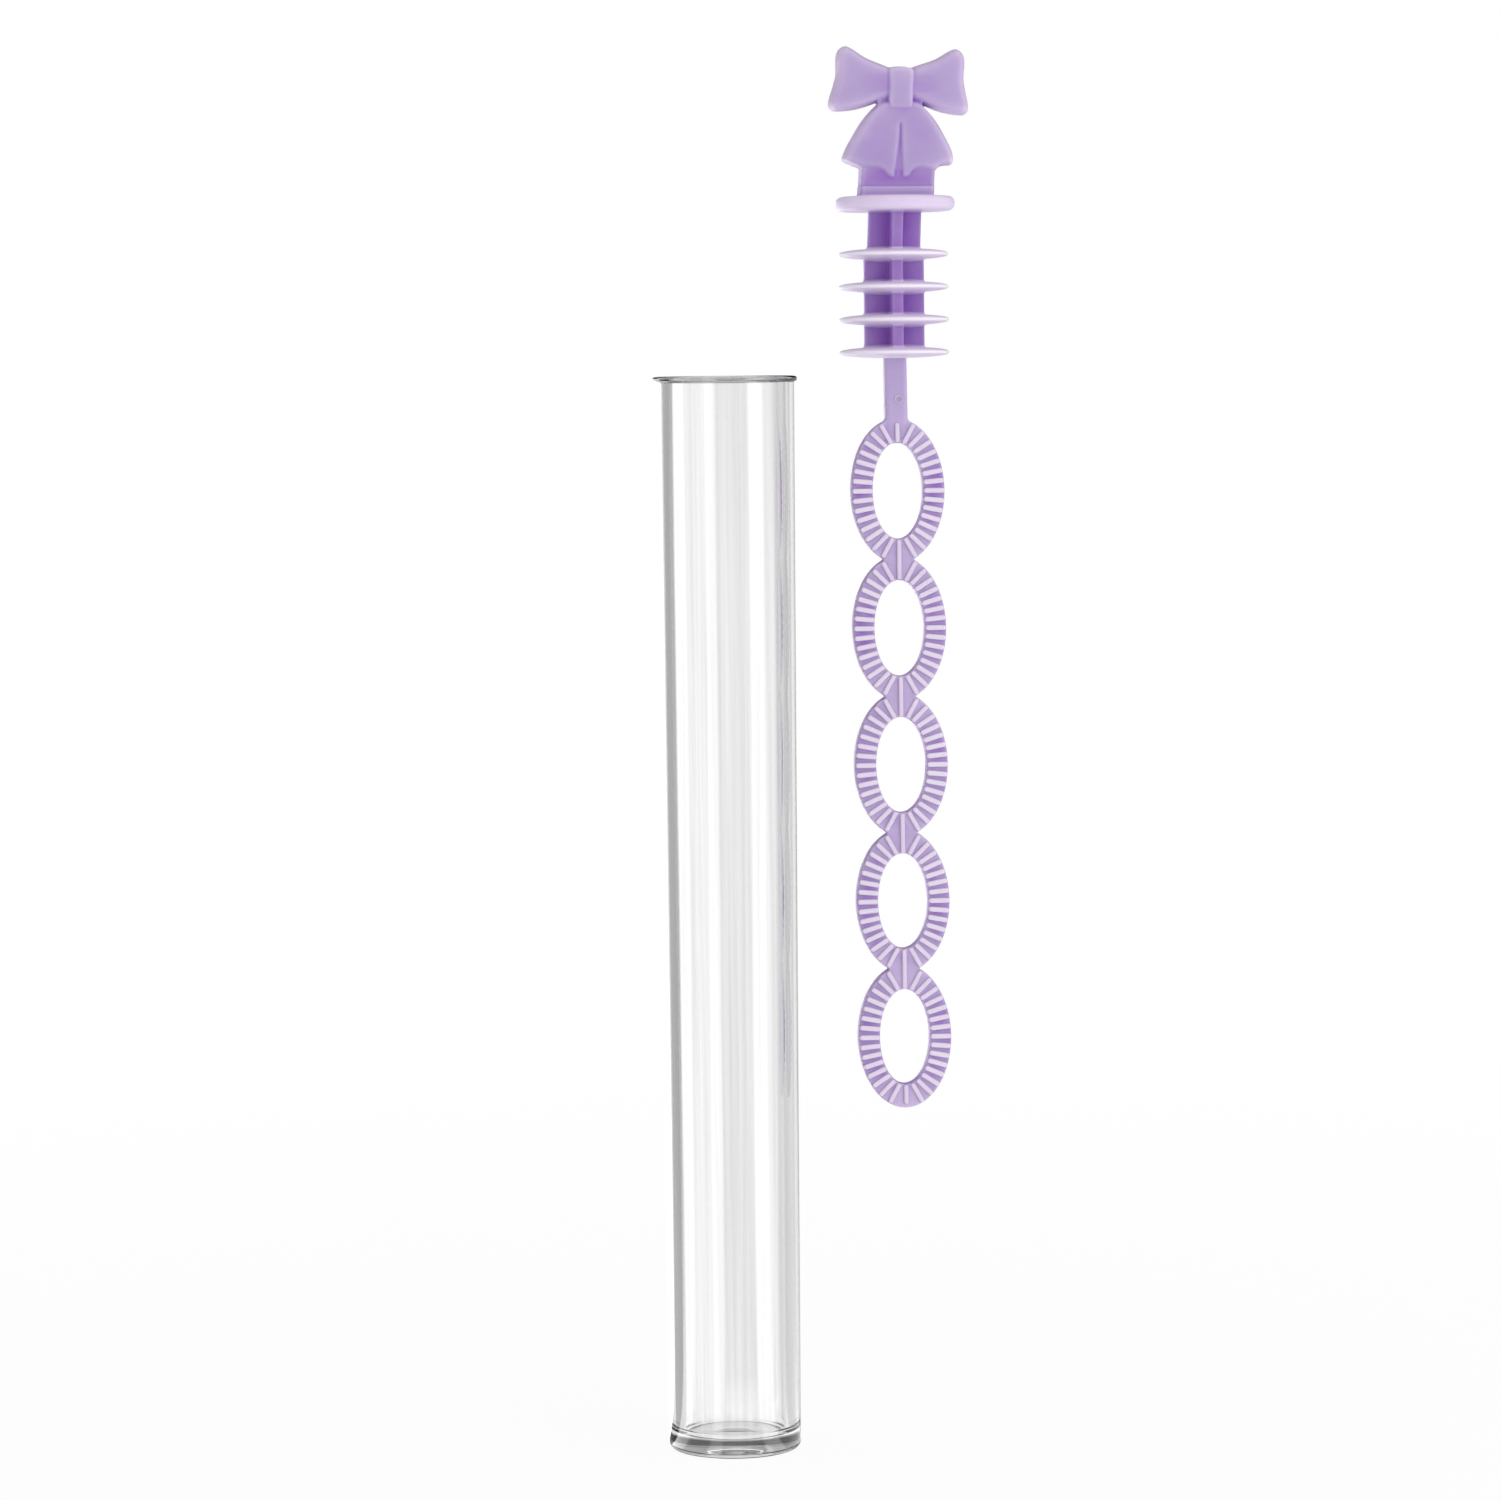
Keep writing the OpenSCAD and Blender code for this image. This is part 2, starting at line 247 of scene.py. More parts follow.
def ellipse_distance(x, z, half_width, half_height):
    """Distance to an ellipse, close to true near its edge."""
    near = np.hypot(x / half_width, z / half_height)
    slope = np.hypot(x / half_width ** 2, z / half_height ** 2)
    return near * (near - 1) / np.maximum(slope, TINY)


def outline_distance(x, z, points):
    """Signed distance to a closed outline of straight steps."""
    shape = np.broadcast(x, z).shape
    nearest = np.full(shape, np.inf)
    inside = np.zeros(shape, bool)
    for (ax, az), (bx, bz) in zip(points, np.roll(points, -1, axis=0)):
        ex, ez = bx - ax, bz - az
        t = np.clip(((x - ax) * ex + (z - az) * ez) / (ex * ex + ez * ez), 0, 1)
        nearest = np.minimum(nearest, (x - ax - t * ex) ** 2 + (z - az - t * ez) ** 2)
        if ez:
            crosses = (az > z) != (bz > z)
            inside ^= crosses & (x < ax + (z - az) * ex / ez)
    return np.where(inside, -1, 1) * np.sqrt(nearest)


def smooth_outline(points):
    """Closed Catmull-Rom curve through the points."""
    p = np.array(points, float)
    before, after, later = np.roll(p, 1, axis=0), np.roll(p, -1, axis=0), np.roll(p, -2, axis=0)
    t = np.linspace(0, 1, CURVE_STEPS, endpoint=False)[None, :, None]
    a, b, c, d = (q[:, None, :] for q in (before, p, after, later))
    curve = 0.5 * (2 * b + (c - a) * t + (2 * a - 5 * b + 4 * c - d) * t ** 2
                   + (3 * b - a - 3 * c + d) * t ** 3)
    return curve.reshape(-1, 2)


def box_mean(grid, reach):
    """Mean of a grid over a cube of cells round each cell."""
    for axis in range(3):
        pad = [(0, 0)] * 3
        pad[axis] = (reach + 1, reach)
        total = np.cumsum(np.pad(grid, pad), axis=axis, dtype=np.float32)
        count = grid.shape[axis]
        span = 2 * reach + 1
        upper = np.take(total, range(span, span + count), axis=axis)
        grid = (upper - np.take(total, range(count), axis=axis)) / span
    return grid


class Field:
    """Signed distances in millimetres on a regular grid, built up form by form."""

    def __init__(self, low, high, step):
        self.step = step
        margin = GRID_MARGIN * step
        self.low = np.array(low, float) - margin
        self.count = np.ceil((np.array(high) + margin - self.low) / step).astype(int) + 1
        self.values = np.full(self.count, FAR, np.float32)

    def block(self, low, high):
        """The part of the grid round a box, and its x, y and z as arrays that broadcast."""
        first = np.maximum(np.floor((np.array(low) - self.low) / self.step).astype(int), 0)
        last = np.minimum(np.ceil((np.array(high) - self.low) / self.step).astype(int) + 1, self.count)
        x, y, z = (self.low[i] + self.step * np.arange(first[i], last[i]) for i in range(3))
        cut = tuple(slice(a, b) for a, b in zip(first, last))
        return cut, x[:, None, None], y[None, :, None], z[None, None, :]

    def add(self, low, high, form, fillet):
        """Joins a form to the field inside a box, with a fillet where it meets what is there."""
        margin = fillet + JOIN_MARGIN * self.step
        cut, x, y, z = self.block(np.array(low) - margin, np.array(high) + margin)
        self.values[cut] = smooth_min(self.values[cut], form(x, y, z), fillet)

    def sample(self, grid, points):
        """Values of a grid at points, blended from the eight nearest nodes."""
        at = (points - self.low) / self.step
        cell = np.clip(np.floor(at).astype(int), 0, self.count - 2)
        part = at - cell
        total = 0
        for corner in np.ndindex(2, 2, 2):
            weight = np.prod(np.where(np.array(corner, bool), part, 1 - part), axis=1)
            total = total + weight * grid[tuple((cell + corner).T)]
        return total

    def normals(self, points):
        """Directions straight out of the form at points on its skin."""
        sides = self.step * np.eye(3)
        slope = np.stack([self.sample(self.values, points + s) - self.sample(self.values, points - s)
                          for s in sides], axis=1)
        return slope / np.maximum(np.linalg.norm(slope, axis=1, keepdims=True), TINY)

    def openness(self, points, reach):
        """Share of air in a small cube round points on the skin: a half on a flat face, more on
        edges and thin parts, and less in corners and grooves."""
        solid = np.clip(0.5 - self.values / self.step, 0, 1)
        return 1 - self.sample(box_mean(solid, round(reach / self.step)), points)


def surface_net(field):
    """Points and four-sided faces of the field's zero surface, one point in each cell it crosses."""
    v = field.values
    inside = v < 0
    corners = [(i, j, k) for i in (0, 1) for j in (0, 1) for k in (0, 1)]
    size = np.array(v.shape) - 1

    def corner(grid, at):
        return grid[tuple(slice(at[i], at[i] + size[i]) for i in range(3))]

    hits = sum(corner(inside, c).astype(np.uint8) for c in corners)
    mixed = (hits > 0) & (hits < 8)
    cells = np.argwhere(mixed)
    number = np.full(mixed.shape, -1, np.int32)
    number[mixed] = np.arange(len(cells))
    total = np.zeros(cells.shape)
    count = np.zeros(len(cells))
    for c in corners:
        for axis in range(3):
            if c[axis]:
                continue
            d = tuple(1 if i == axis else c[i] for i in range(3))
            start = v[tuple((cells + c).T)]
            end = v[tuple((cells + d).T)]
            crosses = (start < 0) != (end < 0)
            t = np.where(crosses, start / np.where(crosses, start - end, 1), 0)
            point = np.array(c, float) + t[:, None] * (np.array(d) - np.array(c))
            total += np.where(crosses[:, None], point, 0)
            count += crosses
    points = field.low + field.step * (cells + total / count[:, None])

    faces = []
    for axis in range(3):
        b, c = (axis + 1) % 3, (axis + 2) % 3
        low = tuple(slice(0, -1) if i == axis else slice(None) for i in range(3))
        high = tuple(slice(1, None) if i == axis else slice(None) for i in range(3))
        nodes = np.argwhere(inside[low] != inside[high])
        out = inside[low][tuple(nodes.T)]
        ring = []
        for shift_b, shift_c in ((-1, -1), (0, -1), (0, 0), (-1, 0)):
            cell = nodes.copy()
            cell[:, b] += shift_b
            cell[:, c] += shift_c
            ring.append(number[tuple(cell.T)])
        quad = np.stack(ring, axis=1)
        faces.append(np.where(out[:, None], quad, quad[:, ::-1]))
    return points, np.concatenate(faces)


# Forms of the wand

def add_flange(field):
    low, high = wand_box("stop_flange")
    radius, half = high[0], (high[2] - low[2]) / 2

    def form(x, y, z):
        return rounded(np.hypot(x, y) - radius, np.abs(z - half) - half, FLANGE_ROUND)
    field.add(low, high, form, FIN_FILLET)


def add_spine(field):
    low, high = wand_box("plug_spine")
    first = wand_box(DISCS[0])
    step_z = (first[0][2] + first[1][2]) / 2
    wide = high[0]

    def form(x, y, z):
        reach = np.where(z > step_z, UPPER_FIN_WIDTH / 2, wide)
        side = rounded(np.abs(x) - reach, np.abs(y) - FIN_THICKNESS / 2, FIN_ROUND)
        front = rounded(np.abs(y) - reach, np.abs(x) - FIN_THICKNESS / 2, FIN_ROUND)
        cross = smooth_min(side, front, FIN_FILLET)
        return np.maximum(cross, np.maximum(z - high[2] - field.step, low[2] - z))
    field.add(low, high, form, FIN_FILLET)


def add_disc(field, node):
    low, high = wand_box(node)
    radius, half = high[0] - DISC_RIM_ROUND, (high[2] - low[2]) / 2 - DISC_RIM_ROUND
    middle = (high[2] + low[2]) / 2
    r = radius * np.linspace(0, 1, DISC_STEPS) ** DISC_CROWD
    profile = half * (1 - (r / radius) ** 2) ** DISC_FULLNESS
    points = np.array(list(zip(r, profile)) + list(zip(r[-2::-1], -profile[-2::-1])))

    def form(x, y, z):
        return outline_distance(np.hypot(x, y), z - middle, points) - DISC_RIM_ROUND
    field.add(low, high, form, DISC_FILLET)


def add_neck(field):
    low, high = wand_box("neck")
    foot = wand_box("stop_flange")[1][2]
    plinth_top = foot + PLINTH_HEIGHT
    hem = wand_box("bow_tails")[0][2]
    top = hem + BLOCK_TOP_SHARE * (high[2] - hem)

    def side(x, y):
        return np.abs(x) + NECK_DRAFT * np.abs(y) - NECK_WIDTH / 2

    def plinth(x, y, z):
        ring = rounded(side(x, y), np.abs(y) - PLINTH_DEPTH / 2, NECK_ROUND)
        return rounded(ring, np.maximum(z - plinth_top, foot - field.step - z), PLINTH_ROUND)

    def block(x, y, z):
        ring = rounded(side(x, y), np.abs(y) - NECK_DEPTH / 2, NECK_ROUND)
        body = np.maximum(ring, np.maximum(z - top, foot - z))
        tongue = np.maximum(np.abs(x) - TONGUE_WIDTH / 2, np.abs(y) - NECK_DEPTH / 2)
        return np.minimum(body, np.maximum(tongue, np.maximum(z - high[2], foot - z)))
    field.add(low, high, plinth, FIN_FILLET)
    field.add(low, high, block, BOW_FILLET)


def crowned(rho, reach, middle, edge):
    """Half the thickness of a form that is fullest at its middle."""
    return (middle - (middle - edge) * np.minimum(rho / reach, CROWN_LIMIT) ** 2) / 2


def add_tails(field):
    low, high = wand_box("bow_tails")
    half_width = (high[0] - low[0]) / 2
    height = high[2] - low[2]
    outline = smooth_outline(np.array(TAIL_SHARES) * (half_width, height) + (0, low[2]))
    slit_top = low[2] + SLIT_TOP_SHARE * height

    def form(x, y, z):
        flat = outline_distance(x[:, 0, :], z[:, 0, :], outline)[:, None, :]
        drop = slit_top - z
        slope = SLIT_WIDTH / 2 / (slit_top - low[2])
        slit = (np.abs(x) - slope * drop) / math.hypot(1, slope)
        slit = np.where(drop > 0, slit, np.hypot(x, drop))
        draft = np.interp(z, (low[2], low[2] + HEM_REACH, high[2] - HEM_REACH, high[2]),
                          (HEM_DRAFT, BOW_DRAFT, BOW_DRAFT, SHOULDER_DRAFT))
        flat = -smooth_min(-flat - draft * np.abs(y), slit, SLIT_FILLET)
        rho = np.hypot(x, z - low[2] - height / 2)
        thick = crowned(rho, half_width, TAIL_DEPTH, TAIL_EDGE)
        return rounded(flat, np.abs(y) - thick, TAIL_ROUND)
    field.add(low, high, form, BOW_FILLET)


def add_wing(field, node, side):
    low, high = wand_box(node)
    knot_low, knot_high = wand_box("bow_knot")
    bow = wand_box("bow_wing_right")[1][0] - wand_box("bow_wing_left")[0][0]
    height = high[2] - low[2]
    pivot = np.array((0, (knot_low[2] + knot_high[2]) / 2))
    foot = (wand_box("bow_wing_left")[0][2] + wand_box("bow_wing_right")[0][2]) / 2
    flat_outline = smooth_outline(np.array(WING_SHARES) * (bow / 2, height)) * (side, 1) + (0, foot)
    cos, sin = math.cos(WING_LEAN), math.sin(WING_LEAN)
    turn = np.array(((cos, -sin), (sin, cos)))
    outline = (flat_outline - pivot) @ turn + pivot
    middle = (low + high) / 2

    def form(x, y, z):
        flat = outline_distance(x[:, 0, :], z[:, 0, :], outline)[:, None, :] + BOW_DRAFT * np.abs(y)
        rho = np.hypot(np.maximum(side * (x - middle[0]), 0), WING_UPRIGHT_SHARE * (z - middle[2]))
        return rounded(flat, np.abs(y) - crowned(rho, height / 2, WING_DEPTH, WING_EDGE), WING_ROUND)
    inward = (WING_REACH_IN, 0, 0)
    field.add(low - inward, high + inward, form, BOW_FILLET)


def add_knot(field):
    low, high = wand_box("bow_knot")
    width, height = high[0] - low[0], high[2] - low[2]
    outline = smooth_outline(np.array(KNOT_SHARES) * (width, height) + (0, low[2]))
    middle = (low[2] + high[2]) / 2

    def form(x, y, z):
        flat = outline_distance(x[:, 0, :], z[:, 0, :], outline)[:, None, :] + KNOT_DRAFT * np.abs(y)
        rho = np.hypot(x, z - middle)
        return rounded(flat, np.abs(y) - crowned(rho, height / 2, KNOT_DEPTH, KNOT_EDGE), KNOT_ROUND)
    field.add(low, high, form, BOW_FILLET)


def add_roots(field):
    """Web behind the knot, where the wings and the tails run together."""
    middle, half_height = (ROOT_FOOT + ROOT_TOP) / 2, (ROOT_TOP - ROOT_FOOT) / 2
    corner = np.array((ROOT_HALF_WIDTH, ROOT_DEPTH / 2, half_height))

    def form(x, y, z):
        flat = rounded(np.abs(x) - corner[0], np.abs(z - middle) - half_height, ROOT_ROUND)
        return np.maximum(flat, np.abs(y) - corner[1])
    field.add((0, 0, middle) - corner, (0, 0, middle) + corner, form, ROOT_FILLET)


def ring_centres():
    """Heights of the rings' middles: the waist planes of the boxes are one pitch apart."""
    tops = [wand_box(n)[1][2] for n in RINGS]
    pitch = tops[0] - tops[1]
    return [top - pitch / 2 for top in tops], pitch


def rib_angles():
    """Ribs stand evenly along each long side of a ring, with one more at its top and foot."""
    quarter = RIB_COUNT // 4
    even = RIB_TURN_SHARE * 2 * math.pi / RIB_COUNT * np.arange(1 - quarter, quarter)
    side = even - RIB_CROWD * np.sin(2 * even) + RIB_CROWD_AGAIN * np.sin(4 * even)
    return np.concatenate((side, side + math.pi, (math.pi / 2, -math.pi / 2)))


def add_chain(field):
    """Stem and rings as a flat band with a hole in each ring."""
    low, high = wand_box(RINGS[0])
    half_width, half_thick = (high[0] - low[0]) / 2, (high[1] - low[1]) / 2
    centres, _ = ring_centres()
    last_disc = wand_box(DISCS[-1])
    stem_top = (last_disc[0][2] + last_disc[1][2]) / 2
    chain_low = np.array((-half_width, -half_thick, centres[-1] - RING_HEIGHT / 2))
    chain_high = np.array((half_width, half_thick, stem_top))

    def form(x, y, z):
        fx, fz = x[:, 0, :], z[:, 0, :]
        outer = np.full(np.broadcast(fx, fz).shape, FAR)
        hole = outer.copy()
        for centre in centres:
            ring = ellipse_distance(fx, fz - centre, half_width, RING_HEIGHT / 2)
            outer = smooth_min(outer, ring, WAIST_FILLET)
            hole = np.minimum(hole, ellipse_distance(fx, fz - centre, HOLE_WIDTH / 2, HOLE_HEIGHT / 2))
        stem_foot = centres[0] + HOLE_HEIGHT / 2
        stem = np.maximum(np.abs(fx) - STEM_WIDTH / 2, np.maximum(fz - stem_top, stem_foot - fz))
        draft = RING_DRAFT * np.abs(y)
        band = np.maximum(smooth_min(outer, stem, STEM_FILLET), -hole)[:, None, :] + draft
        shape = rounded(band, np.abs(y) - RING_CORE / 2, RING_ROUND)
        run_out = np.clip((centres[0] + RING_HEIGHT / 2 + STEM_RUN_START - z) / STEM_RUN_OUT, 0, 1)
        post_half = STEM_DEPTH / 2 - (STEM_DEPTH - RING_CORE) / 2 * run_out
        post = rounded(stem[:, None, :] + draft, np.abs(y) - post_half, STEM_ROUND)
        return smooth_min(shape, post, POST_FILLET)
    field.add(chain_low, chain_high, form, STEM_FILLET)


# Ribs of the rings: bars with rounded edges that stand on both faces of the band

def ellipse_reach(at, way, half_width, half_height):
    """How far along a direction a line from a point leaves an ellipse."""
    a = (way[0] / half_width) ** 2 + (way[1] / half_height) ** 2
    b = at[0] * way[0] / half_width ** 2 + at[1] * way[1] / half_height ** 2
    c = (at[0] / half_width) ** 2 + (at[1] / half_height) ** 2 - 1
    return (-b + math.sqrt(max(b * b - a * c, 0))) / a


def end_share(angle):
    """How near a rib is to the top or foot of its ring, from 0 to 1."""
    return math.sin(angle) ** 4


def rib_plan(angle, half_width, pitch, runs_on):
    """The four corners of a rib about its ring's middle. One that runs on ends at the next hole."""
    mid_x, mid_z = (half_width + HOLE_WIDTH / 2) / 2, (RING_HEIGHT + HOLE_HEIGHT) / 4
    start = np.array((mid_x * math.cos(angle), mid_z * math.sin(angle)))
    way = np.array((mid_z * math.cos(angle), mid_x * math.sin(angle)))
    way /= np.linalg.norm(way)
    across = np.array((-way[1], way[0]))
    width = RIB_WIDTH * (1 - RIB_SLIMMER_SHARE * end_share(angle))
    ends = []
    for side in (-1, 1):
        at = start + side * width / 2 * across
        inner = ellipse_reach(at, way, HOLE_WIDTH / 2, HOLE_HEIGHT / 2)
        outer = ellipse_reach(at, way, half_width, RING_HEIGHT / 2)
        if runs_on:
            outer = pitch - 2 * abs(at[1]) - inner
        elif abs(way[1]) > TINY:
            outer = min(outer, (pitch / 2 - abs(at[1])) / abs(way[1]))
        ends.append((at + (inner + RIB_INSET) * way, at + (outer - RIB_INSET) * way))
    return np.array((ends[0][0], ends[0][1], ends[1][1], ends[1][0]))


def rounded_loop(corners, radius, inset):
    """A loop round four corners drawn in by an inset and rounded, and its directions out."""
    points, outward = [], []
    for i in range(4):
        back, ahead = corners[i - 1] - corners[i], corners[(i + 1) % 4] - corners[i]
        back, ahead = back / np.linalg.norm(back), ahead / np.linalg.norm(ahead)
        middle = corners[i] + radius * (back + ahead)
        for turn in np.linspace(0, math.pi / 2, RIB_STEPS):
            out = -math.cos(turn) * ahead - math.sin(turn) * back
            points.append(middle + (radius - inset) * out)
            outward.append(out / np.linalg.norm(out))
    return np.array(points), np.array(outward)


def stacked_loops(rows, count):
    """Faces of a closed bar whose points lie in rows of loops, with a flat end at the first and last."""
    ring = np.arange(count)
    follow = np.roll(ring, -1)
    band = np.stack((ring, follow, follow + count, ring + count), 1)
    cap = np.array([(i, i + 1, count - 2 - i, count - 1 - i) for i in range(count // 2 - 1)])
    bands = [band + row * count for row in range(rows - 1)]
    return np.concatenate(bands + [cap[:, ::-1], cap + (rows - 1) * count])


def part_of(points, faces, normals, tones):
    """A part with four-sided faces, from lists of its points, their normals and their tones."""
    return (np.concatenate(points), faces.ravel(), np.full(len(faces), 4), np.concatenate(normals),
            np.concatenate(tones))


def rib_part():
    """Points, faces, normals and tones of all ribs."""
    low, high = wand_box(RINGS[0])
    half_width, top = (high[0] - low[0]) / 2, (high[1] - low[1]) / 2
    centres, pitch = ring_centres()
    foot_tone, side_tone, top_tone = RIB_PAINTED_TONES
    bevel = [(0, RING_CORE / 2 - RIB_ROUND, -RIB_FOOT_SPREAD, foot_tone),
             (0, top - RIB_ROUND, 0, side_tone)]
    for turn in np.linspace(0, math.pi / 2, RIB_STEPS + 1)[1:]:
        inset = RIB_ROUND * (1 - math.cos(turn))
        bevel.append((turn, top - RIB_ROUND * (1 - math.sin(turn)), inset, top_tone))
    count = 4 * RIB_STEPS
    block = stacked_loops(len(bevel), count)
    points, faces, normals, tones = [], [], [], []
    number = 0
    for place, centre in enumerate(centres):
        for angle in rib_angles():
            upright = abs(math.cos(angle)) < TINY
            at_top = upright and math.sin(angle) > 0
            if at_top and place > 0:
                continue
            runs_on = upright and not at_top and place < len(centres) - 1
            corners = rib_plan(angle, half_width, pitch, runs_on)
            for side in (-1, 1):
                for turn, y, inset, tone in bevel:
                    loop, outward = rounded_loop(corners, RIB_CORNER, inset)
                    points.append(np.insert(loop + (0, centre), 1, side * y, axis=1))
                    normals.append(np.insert(math.cos(turn) * outward, 1, side * math.sin(turn), axis=1))
                    tones.append(np.full(count, tone - RIB_FADE * end_share(angle)))
                faces.append((block if side < 0 else block[:, ::-1]) + number)
                number += len(bevel) * count
    return part_of(points, np.concatenate(faces), normals, tones)


def gate_part():
    """The round scar that the mould's gate left on the front of the stem."""
    turns = np.linspace(0, 2 * math.pi, GATE_STEPS, endpoint=False)
    out = np.stack((np.cos(turns), np.sin(turns)), 1)
    points, normals, tones = [], [], []
    for radius, height, tilt, tone in GATE_ROWS:
        lean = math.radians(tilt)
        loop = radius * out + (GATE_RIGHT, -GATE_DROP)
        points.append(np.insert(loop, 1, -STEM_DEPTH / 2 - height, axis=1))
        normals.append(np.insert(math.sin(lean) * out, 1, -math.cos(lean), axis=1))
        tones.append(np.full(GATE_STEPS, tone))
    return part_of(points, stacked_loops(len(GATE_ROWS), GATE_STEPS)[:, ::-1], normals, tones)


# Pieces

def mesh_from(name, points, corners, sizes):
    """A smooth shaded mesh from its points, the corners of its faces in a row, and the faces' sizes."""
    mesh = bpy.data.meshes.new(name)
    mesh.vertices.add(len(points))
    mesh.vertices.foreach_set("co", np.asarray(points, np.float32).ravel())
    mesh.loops.add(len(corners))
    mesh.loops.foreach_set("vertex_index", np.asarray(corners, np.int32))
    mesh.polygons.add(len(sizes))
    mesh.polygons.foreach_set("loop_start", np.asarray(np.cumsum(sizes) - sizes, np.int32))
    mesh.polygons.foreach_set("use_smooth", np.ones(len(sizes), bool))
    mesh.update(calc_edges=True)
    mesh.validate()
    return mesh


def new_piece(name, mesh, body, nodes, material):
    """An object that rides on a body, takes a material and hides the CAD nodes it is drawn in place of.
    """
    piece = bpy.data.objects.new(name, mesh)
    bpy.context.scene.collection.objects.link(piece)
    mesh.materials.append(material)
    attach(piece, body)
    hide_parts(*nodes)


def thinned(points, faces, triangles):
    """A skin with fewer faces where it is flat: its points, corners and the faces' sizes."""
    mesh = mesh_from("draft", points, faces.ravel(), np.full(len(faces), 4))
    draft = bpy.data.objects.new("draft", mesh)
    bpy.context.scene.collection.objects.link(draft)
    thin = draft.modifiers.new("thin", "DECIMATE")
    thin.ratio = min(1, triangles / (2 * len(faces)))
    bpy.context.view_layer.update()
    skin = bpy.data.meshes.new_from_object(draft.evaluated_get(bpy.context.evaluated_depsgraph_get()))
    kept = np.array([v.co for v in skin.vertices], float)
    corners = np.array([c.vertex_index for c in skin.loops])
    sizes = np.array([p.loop_total for p in skin.polygons])
    bpy.data.objects.remove(draft)
    bpy.data.meshes.remove(mesh)
    bpy.data.meshes.remove(skin)
    return kept, corners, sizes


def skin_part(field, triangles, tone_of):
    """Points, faces, normals and tones of a field's skin."""
    points, corners, sizes = thinned(*surface_net(field), triangles)
    normals = field.normals(points)
    return points, corners, sizes, normals, tone_of(field, points, normals)


def rise(value, start, length):
    """A share that grows from 0 to 1 over a length."""
    return np.clip((value - start) / length, 0, 1)


def paleness(tone, fine, broad=0):
    """A tone's base, and the painted light and shade that it gains and loses with the air round a point.
    """
    return tone[0] + tone[1] * fine + tone[2] * broad


def grip_tone(field, points, normals):
    """Paleness of the grip, with painted light and shade: about a half on thick flat parts, painted
    light where light comes through thin ones and on edges, painted shade in corners, and deeper painted
    shade on the fins of the plug than on its discs."""
    fine = field.openness(points, FINE_REACH) - 0.5
    broad = field.openness(points, BROAD_REACH) - 0.5
    x, y, z = points.T
    bow = rise(z, wand_box("stop_flange")[1][2], BOW_BLEND)
    flange = rise(z, -FLANGE_BLEND, FLANGE_BLEND) * (1 - bow)
    disc = np.zeros(len(z))
    for node in DISCS:
        low, high = wand_box(node)
        inward = np.clip(1 - (x * x + y * y) / high[0] ** 2, DISC_RIM_SHARE, 1)
        half = (high[2] - low[2]) / 2 * inward ** DISC_FULLNESS
        above = np.abs(z - (low[2] + high[2]) / 2) - half
        disc = np.maximum(disc, 1 - rise(above, 0, DISC_BLEND))
    disc *= 1 - bow - flange
    fins = 1 - bow - flange - disc
    # Painted light on the bow's side walls, and painted shade on the neck's face under the tails' hem
    wall = (1 - np.abs(normals[:, 1])) * rise(z, *BOW_WALLS_RISE)
    neck = (1 - rise(np.abs(y), *NECK_FACE_RISE)) * (1 - rise(z, *NECK_TOP_RISE))
    return (bow * (paleness(BOW_TONE, fine, broad) - NECK_PAINTED_SHADE * neck + BOW_WALLS_PAINTED_LIGHT * wall)
            + flange * paleness(FLANGE_TONE, fine) + disc * paleness(DISC_TONE, fine)
            + fins * paleness(FIN_TONE, fine, broad))


def chain_tone(field, points, normals):
    """Paleness of the stem and the band, with painted light and shade: the band's faces take painted
    shade on the rings' long sides and painted light round the ends of the holes; edges paler, walls
    deeper."""
    fine = field.openness(points, FINE_REACH) - 0.5
    centres, pitch = ring_centres()
    x, _, z = points.T
    near = np.min([np.abs(z - c) for c in centres], axis=0)
    on_ring = 1 - rise(z, centres[0] + RING_HEIGHT / 2 - RING_BLEND, RING_BLEND)
    side = np.clip(1 - (2 * near / pitch) ** 2, 0, 1)
    hole = np.min([ellipse_distance(x, z - c, HOLE_WIDTH / 2, HOLE_HEIGHT / 2) for c in centres], axis=0)
    ends = (1 - rise(hole, 0, HOLE_BORDER)) * (1 - side)
    face = np.abs(normals[:, 1])
    on_face = HOLE_ENDS_PAINTED_LIGHT * ends - LONG_SIDES_PAINTED_SHADE * side
    change = RING_EDGES_PAINTED_LIGHT * fine + face * on_face - (1 - face) * RING_WALLS_PAINTED_SHADE
    return paleness(STEM_TONE, fine) + on_ring * change


def wand_piece(name, parts, nodes, material):
    """A piece of the wand made of several parts, bent as the real one is."""
    points, corners, sizes, normals, tones = zip(*parts)
    starts = np.cumsum([0] + [len(p) for p in points])
    corners = np.concatenate([c + start for c, start in zip(corners, starts)])
    points = np.concatenate(points)
    points[:, 0] += np.interp(points[:, 2], *zip(*BEND))
    places = points * MM + np.array(DATUM)
    mesh = mesh_from(name, places, corners, np.concatenate(sizes))
    # The tone holds the plastic's paleness together with painted light and shade
    tone = mesh.attributes.new("tone", "FLOAT", "POINT")
    tone.data.foreach_set("value", np.concatenate(tones).astype(np.float32))
    mesh.normals_split_custom_set_from_vertices(np.concatenate(normals))
    new_piece(name, mesh, "wand", nodes, material)


def whole_box(nodes):
    """The lowest and highest corner of several nodes together."""
    boxes = [wand_box(n) for n in nodes]
    return np.min([b[0] for b in boxes], axis=0), np.max([b[1] for b in boxes], axis=0)


